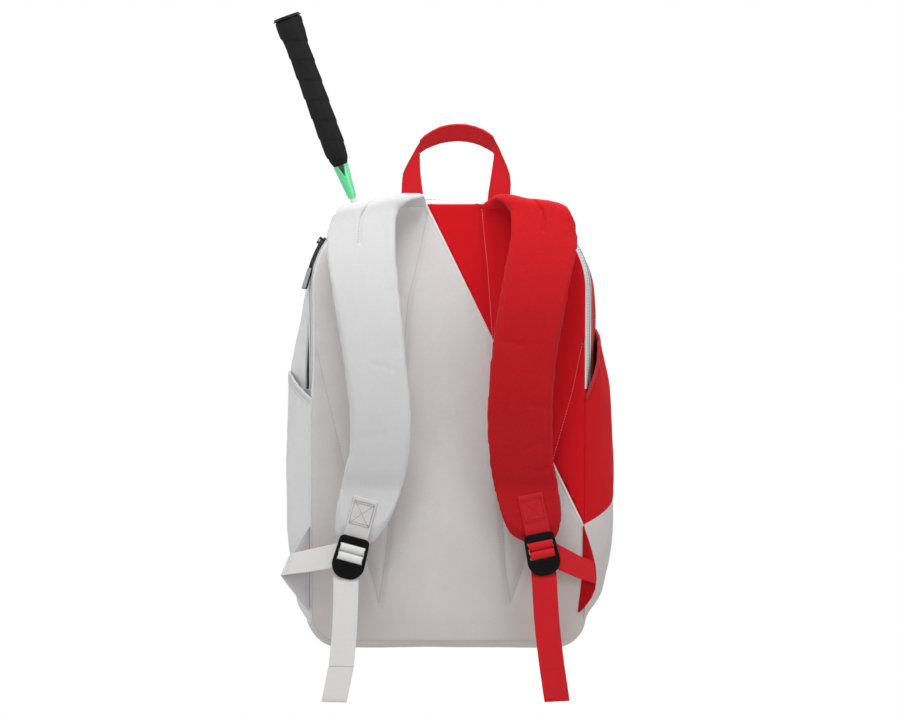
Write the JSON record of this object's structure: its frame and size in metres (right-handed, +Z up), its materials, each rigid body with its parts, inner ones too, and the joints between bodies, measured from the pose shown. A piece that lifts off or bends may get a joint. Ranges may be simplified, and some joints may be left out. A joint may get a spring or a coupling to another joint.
{
  "type": "racket backpack",
  "caption": "Two-colour racket backpack hung by its haul loop, with padded shoulder straps, side pockets, a zipped front pocket and a badminton racket standing in its sleeve.",
  "frame": {"origin": "underside of the haul loop's crown, at the middle of its webbing, where a hook takes the bag", "axes": "+Z up as the bag hangs, -Y towards the harness side, +X to the right as the harness side is seen"},
  "size_m": [0.3678, 0.2339, 0.7454],
  "materials": {
    "pale_cloth": "woven polyester, matt",
    "red_cloth": "woven polyester, matt",
    "lining": "plain lining",
    "stiff_sheet": "plain sheet",
    "zip_tape": "knitted tape",
    "zip_coil": "nylon coil",
    "dark_metal": "satin",
    "pull_rubber": "matt",
    "pull_cord": "braided",
    "lock_plastic": "moulded, fine grain",
    "elastic": "ribbed elastic",
    "racket_paint": "lacquered",
    "racket_shaft": "lacquered",
    "string": "plain",
    "grip_wrap": "tacky wrap"
  },
  "bodies": {
    "bag": {"back_panel_pale": "pale_cloth", "back_panel_red": "red_cloth", "back_stiffener": "stiff_sheet", "rear_gusset_left": "pale_cloth", "rear_gusset_right": "red_cloth", "side_panel_left": "pale_cloth", "side_panel_right": "red_cloth", "top_panel": "pale_cloth", "base_panel": "pale_cloth", "front_panel": "pale_cloth", "zip_tape_rear": "zip_tape", "zip_tape_front": "zip_tape", "zip_coil_left": "zip_coil", "zip_coil_right": "zip_coil", "sleeve_divider": "lining", "sleeve_floor": "lining", "front_pocket": "pale_cloth", "pocket_tape_lower": "zip_tape", "pocket_tape_upper": "zip_tape", "pocket_coil": "zip_coil", "side_pocket_left": "pale_cloth", "side_pocket_right": "red_cloth", "pocket_binding_left": "elastic", "pocket_binding_right": "elastic", "anchor_wing_left": "pale_cloth", "anchor_wing_right": "red_cloth", "haul_loop": "red_cloth", "lower_webbing_left": "pale_cloth", "lower_webbing_right": "red_cloth"},
    "racket": {"racket_frame": "racket_paint", "racket_strings": "string", "racket_throat": "racket_paint", "racket_shaft": "racket_shaft", "racket_cone": "racket_paint", "racket_grip": "grip_wrap", "racket_butt_cap": "grip_wrap"},
    "slider_left": {"main_slider_left": "dark_metal"},
    "pull_left": {"pull_cord_left": "pull_cord", "pull_tab_left": "pull_rubber"},
    "slider_right": {"main_slider_right": "dark_metal"},
    "pull_right": {"pull_cord_right": "pull_cord", "pull_tab_right": "pull_rubber"},
    "slider_pocket": {"pocket_slider": "dark_metal"},
    "pull_pocket": {"pull_cord_pocket": "pull_cord", "pull_tab_pocket": "pull_rubber"},
    "strap_left": {"strap_pad_left": "pale_cloth", "strap_web_left": "pale_cloth"},
    "lock_left": {"ladder_lock_left": "lock_plastic", "web_turn_left": "pale_cloth"},
    "tail_left": {"webbing_tail_left": "pale_cloth"},
    "strap_right": {"strap_pad_right": "red_cloth", "strap_web_right": "red_cloth"},
    "lock_right": {"ladder_lock_right": "lock_plastic", "web_turn_right": "red_cloth"},
    "tail_right": {"webbing_tail_right": "red_cloth"}
  },
  "joints": [
    {"name": "racket_draw", "type": "slide", "parent": "bag", "child": "racket", "axis": [-0.342, 0, 0.9397], "range_m": [0, 0.14]},
    {"name": "left_slider_travel", "type": "hinge", "parent": "bag", "child": "slider_left", "pos_m": [-0.05907, 0.0245, -0.15932], "axis": [0, -1, 0], "range_deg": [0, 22], "deforming": ["zip_coil_left"]},
    {"name": "left_pull_swing", "type": "hinge", "parent": "slider_left", "child": "pull_left", "pos_m": [-0.14072, 0.02392, -0.10629], "axis": [0, 1, 0], "range_deg": [0, 100]},
    {"name": "right_slider_travel", "type": "slide", "parent": "bag", "child": "slider_right", "axis": [1, 0, 0], "range_m": [0, 0.1], "deforming": ["zip_coil_right"]},
    {"name": "right_pull_swing", "type": "hinge", "parent": "slider_right", "child": "pull_right", "pos_m": [-0.054, 0.02414, -0.06193], "axis": [0, -1, 0], "range_deg": [0, 150]},
    {"name": "pocket_slider_travel", "type": "slide", "parent": "bag", "child": "slider_pocket", "axis": [1, 0, 0], "range_m": [0, 0.135], "deforming": ["pocket_coil"]},
    {"name": "pocket_pull_swing", "type": "hinge", "parent": "slider_pocket", "child": "pull_pocket", "pos_m": [-0.07, 0.1758, -0.2958], "axis": [0, 0, 1], "range_deg": [0, 170]},
    {"name": "strap_left_lift", "type": "hinge", "parent": "bag", "child": "strap_left", "pos_m": [0, -0.012, -0.0678], "axis": [-1, 0, 0], "range_deg": [0, 25], "deforming": ["lower_webbing_left"]},
    {"name": "lock_left_tilt", "type": "hinge", "parent": "strap_left", "child": "lock_left", "pos_m": [-0.10206, -0.0434, -0.42802], "axis": [-0.9659, 0, 0.2588], "range_deg": [0, 60]},
    {"name": "tail_left_swing", "type": "hinge", "parent": "lock_left", "child": "tail_left", "pos_m": [-0.112, -0.0431, -0.4737], "axis": [-1, 0, 0], "range_deg": [-12, 80]},
    {"name": "strap_right_lift", "type": "hinge", "parent": "bag", "child": "strap_right", "pos_m": [0, -0.012, -0.0678], "axis": [-1, 0, 0], "range_deg": [0, 25], "deforming": ["lower_webbing_right"]},
    {"name": "lock_right_tilt", "type": "hinge", "parent": "strap_right", "child": "lock_right", "pos_m": [0.09513, -0.0434, -0.42376], "axis": [-0.9781, 0, -0.2079], "range_deg": [0, 60]},
    {"name": "tail_right_swing", "type": "hinge", "parent": "lock_right", "child": "tail_right", "pos_m": [0.1015, -0.0431, -0.4702], "axis": [-1, 0, 0], "range_deg": [-12, 80]}
  ]
}
